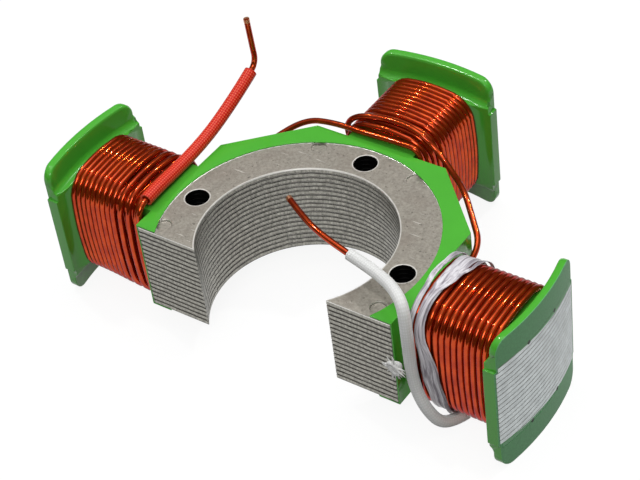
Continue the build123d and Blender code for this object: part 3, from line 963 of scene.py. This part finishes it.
class STATOR_OT_lacing(bpy.types.Operator):
    """Lacing tape round the foot of the right winding, with its knot"""

    bl_idname = "stator.lacing"
    bl_label = "Lacing"

    def execute(self, context):
        colours = context.scene.stator_colours
        film = lacing_film_material(colours)
        slack = 0.2 * MM
        half_across = winding_high.y + slack
        half_up = (winding_high.z - winding_low.z) / 2 + slack
        path = turn_path(
            half_across, half_up, corner=7.3 * MM, bulge=0.4 * MM, side_steps=24, corner_steps=10
        )
        shape = bmesh.new()
        for name in ("along", "across"):
            shape.verts.layers.float.new(name)
        # At eight places round the winding, in millimetres: distance from the bore's axis, and width.
        # The lift is how far, in millimetres, a strand lies over the others.
        strips = (
            {
                "centres": (40.7, 39.5, 38.8, 38.2, 37.9, 37.6, 39.9, 41.5),
                "widths": (4.2, 4.2, 4.0, 3.8, 2.9, 2.2, 4.2, 4.2),
                "lift": 0.0,
            },
            {
                "centres": (41.6, 41.2, 41.4, 41.2, 39.8, 37.7, 41.6, 43.2),
                "widths": (0.9, 0.9, 0.9, 0.8, 0.9, 1.0, 0.7, 0.7),
                "lift": 0.3,
            },
            {
                "centres": (35.6, 35.5, 35.2, 35.1, 34.9, 35.6, 35.8, 35.8),
                "widths": (1.0, 1.0, 1.0, 1.3, 1.2, 1.2, 1.0, 1.0),
                "lift": 0.2,
            },
        )
        for number, strip in enumerate(strips):
            self.strip(shape, path, strip, number)
        piece = mesh_object("lacing_strips", shape, [film])
        solid = piece.modifiers.new("Film", "SOLIDIFY")
        solid.thickness = 0.12 * MM
        solid.offset = 0
        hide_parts("lacing_tape")
        self.knot(cotton_material())
        return {"FINISHED"}

    def strip(self, shape, path, strip, number):
        """One strand of the tape, closed round the winding."""
        stretches, folds = len(path), 8
        stand_off, crinkling = 0.15, 0.22
        along, across = (shape.verts.layers.float[name] for name in ("along", "across"))
        grid = bmesh.ops.create_grid(shape, x_segments=stretches, y_segments=folds, size=0.5)
        girth = sum((path[step] - path[step - 1]).length for step in range(stretches))
        for vertex in grid["verts"]:
            share = vertex.co.x + 0.5
            side = vertex.co.y
            step = round(share * stretches) % stretches
            place = path[step]
            before, after = path[step - 1], path[(step + 1) % stretches]
            normal = Vector((after.y - before.y, before.x - after.x)).normalized()
            point = share * len(strip["centres"])
            first = floor(point) % len(strip["centres"])
            last = (first + 1) % len(strip["centres"])
            within = point - floor(point)
            blend = within * within * (3 - 2 * within)
            centre = strip["centres"][first] * (1 - blend) + strip["centres"][last] * blend
            width = strip["widths"][first] * (1 - blend) + strip["widths"][last] * blend
            turn = 2 * pi * share
            crinkle = noise.noise(Vector((5 * cos(turn), 5 * sin(turn), 6 * side + 7 * number)))
            section = place + normal * (strip["lift"] + stand_off + crinkling * crinkle) * MM
            vertex[along] = girth * share
            vertex[across] = width * side * MM + number
            outward = (centre + width * side) * MM
            vertex.co = to_pole("right", outward, section.x, section.y + winding_middle)
        bmesh.ops.remove_doubles(shape, verts=grid["verts"], dist=0.002 * MM)

    def knot(self, cord):
        """The knot: two turns of the cord, and frayed ends that taper to points."""
        low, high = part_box("lacing_knot")
        pulled = Vector((-1.2 * MM, 0.4 * MM, 1.5 * MM))
        middle = (low + high) / 2 + pulled
        piece = curve_object("frayed_knot", cord)
        piece.data.resolution_u = 6
        chance = random.Random(5)
        for lean in (-0.5, 0.6):
            route = []
            for step in range(9):
                turn = 2 * pi * step / 8
                up = 1.3 * MM * sin(turn)
                route.append(middle + Vector((1.1 * MM * cos(turn) + lean * up, 0.5 * lean * MM, up)))
            smooth_spline(piece.data, route, 0.5 * MM)
        for strand in range(30):
            side = -1 if strand % 2 else 1
            spread = chance.uniform(-1.1, 1.1) + (0.5 if side < 0 else -0.7)
            reach = chance.uniform(1.7, 3.1) * MM
            tip = Vector((side * reach * cos(spread), chance.uniform(-0.9, 0.5) * MM, reach * sin(spread)))
            bend = Vector([chance.uniform(-0.35, 0.35) * MM for axis in range(3)])
            spline = smooth_spline(piece.data, [middle, middle + tip / 2 + bend, middle + tip], 0)
            for point, radius in zip(spline.points, (0.45 * MM, 0.27 * MM, 0.04 * MM)):
                point.radius = radius
        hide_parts("lacing_knot")


class STATOR_OT_stage(bpy.types.Operator):
    """Floor, lamps, world and camera"""

    bl_idname = "stator.stage"
    bl_label = "Stage"

    def execute(self, context):
        studio = context.scene.stator_studio
        self.floor()
        self.lamp("key", (0.16, 0.46, 0.63), 0.04, studio.key_power)
        self.lamp("top", (-0.05, 0.10, 0.75), 0.4, studio.top_power)
        self.lamp("fill", (0.20, -0.45, 0.55), 0.25, studio.fill_power)
        self.lamp("glint", (-0.38, 0.08, 0.69), 0.04, studio.glint_power)
        self.world(context, studio)
        self.camera(context, studio)
        context.scene.view_settings.view_transform = "Standard"
        return {"FINISHED"}

    def shown(self, tree):
        """1 for rays from the camera, mirrors and glass, and 0 for light on the object."""
        rays = add(tree, "LightPath")
        seen = rays.outputs["Is Camera Ray"]
        for kind in ("Is Glossy Ray", "Is Transmission Ray"):
            seen = add(tree, "Math", {0: seen, 1: rays.outputs[kind]}, operation="MAXIMUM").outputs[0]
        return seen

    def floor(self):
        """A pale card, 6 m wide, at the lowest point of the part."""
        shape = bmesh.new()
        bmesh.ops.create_grid(shape, x_segments=1, y_segments=1, size=3)
        bmesh.ops.translate(shape, verts=shape.verts, vec=(0, 0, cad_box[0].z))
        mesh = bpy.data.meshes.new("floor")
        shape.to_mesh(mesh)
        shape.free()
        material, tree, shader = new_material("floor_card")
        glow = add(tree, "Math", {0: self.shown(tree), 1: 0.9}, operation="MULTIPLY")
        fill(
            tree,
            shader,
            {
                "Base Color": linear("#686868"),
                "Roughness": 0.9,
                "Specular IOR Level": 0.0,
                "Emission Color": (1, 1, 1, 1),
                "Emission Strength": glow.outputs[0],
            },
        )
        mesh.materials.append(material)
        obj = bpy.data.objects.new("floor", mesh)
        bpy.context.scene.collection.objects.link(obj)

    def lamp(self, name, place, size, watts):
        """A square lamp that faces the part."""
        light = bpy.data.lights.new(name, "AREA")
        light.shape = "SQUARE"
        light.size = size
        light.energy = watts
        obj = bpy.data.objects.new(name, light)
        obj.location = place
        obj.rotation_euler = (-Vector(place)).to_track_quat("-Z", "Y").to_euler()
        bpy.context.scene.collection.objects.link(obj)

    def world(self, context, studio):
        """A white tent over a dark room: light from overhead, and little from the sides."""
        world = bpy.data.worlds.new("tent")
        world.use_nodes = True
        tree = world.node_tree
        towards = add(tree, "TexCoord").outputs["Generated"]
        up = add(tree, "SeparateXYZ", {0: towards}).outputs["Z"]
        tent = add(
            tree,
            "MapRange",
            {
                "Value": up,
                "From Min": 0.5,
                "From Max": 0.95,
                "To Min": studio.horizon_level,
                "To Max": studio.sky_level,
            },
        )
        fill(tree, tree.nodes["Background"], {"Color": (1, 1, 1, 1), "Strength": tent.outputs[0]})
        context.scene.world = world

    def camera(self, context, studio):
        """The camera, at the place and with the lens that fit the photograph."""
        camera = bpy.data.cameras.new("camera")
        camera.lens = studio.lens
        camera.clip_start = 0.01
        turn = (
            Matrix.Rotation(studio.azimuth, 3, "Z")
            @ Matrix.Rotation(pi / 2 - studio.elevation, 3, "X")
            @ Matrix.Rotation(studio.roll, 3, "Z")
        )
        obj = bpy.data.objects.new("camera", camera)
        obj.location = turn @ Vector((studio.aside, studio.above, studio.distance))
        obj.rotation_euler = turn.to_euler()
        context.scene.collection.objects.link(obj)
        context.scene.camera = obj


OPERATORS = (
    STATOR_OT_stage,
    STATOR_OT_sheets,
    STATOR_OT_coat,
    STATOR_OT_windings,
    STATOR_OT_crossovers,
    STATOR_OT_leads,
    STATOR_OT_lacing,
)
GROUPS = {
    "stator_sizes": StatorSizes,
    "stator_colours": StatorColours,
    "stator_studio": StatorStudio,
}


class STATOR_PT_panel(bpy.types.Panel):
    """Sizes, colours and pieces of the stator"""

    bl_label = "Stator"
    bl_idname = "STATOR_PT_panel"
    bl_space_type = "VIEW_3D"
    bl_region_type = "UI"
    bl_category = "Stator"

    def draw(self, context):
        for group, kind in GROUPS.items():
            column = self.layout.column(align=True)
            for name in kind.__annotations__:
                column.prop(getattr(context.scene, group), name)
        for operator in OPERATORS:
            self.layout.operator(operator.bl_idname)


def register():
    for kind in (*GROUPS.values(), *OPERATORS, STATOR_PT_panel):
        bpy.utils.register_class(kind)
    for group, kind in GROUPS.items():
        setattr(bpy.types.Scene, group, PointerProperty(type=kind))


def unregister():
    for group in GROUPS:
        delattr(bpy.types.Scene, group)
    for kind in (STATOR_PT_panel, *reversed(OPERATORS), *reversed(GROUPS.values())):
        bpy.utils.unregister_class(kind)


def main():
    register()
    bpy.ops.stator.stage()
    bpy.ops.stator.sheets()
    bpy.ops.stator.coat()
    bpy.ops.stator.windings()
    bpy.ops.stator.crossovers()
    bpy.ops.stator.leads()
    bpy.ops.stator.lacing()


if __name__ == "__main__":
    main()
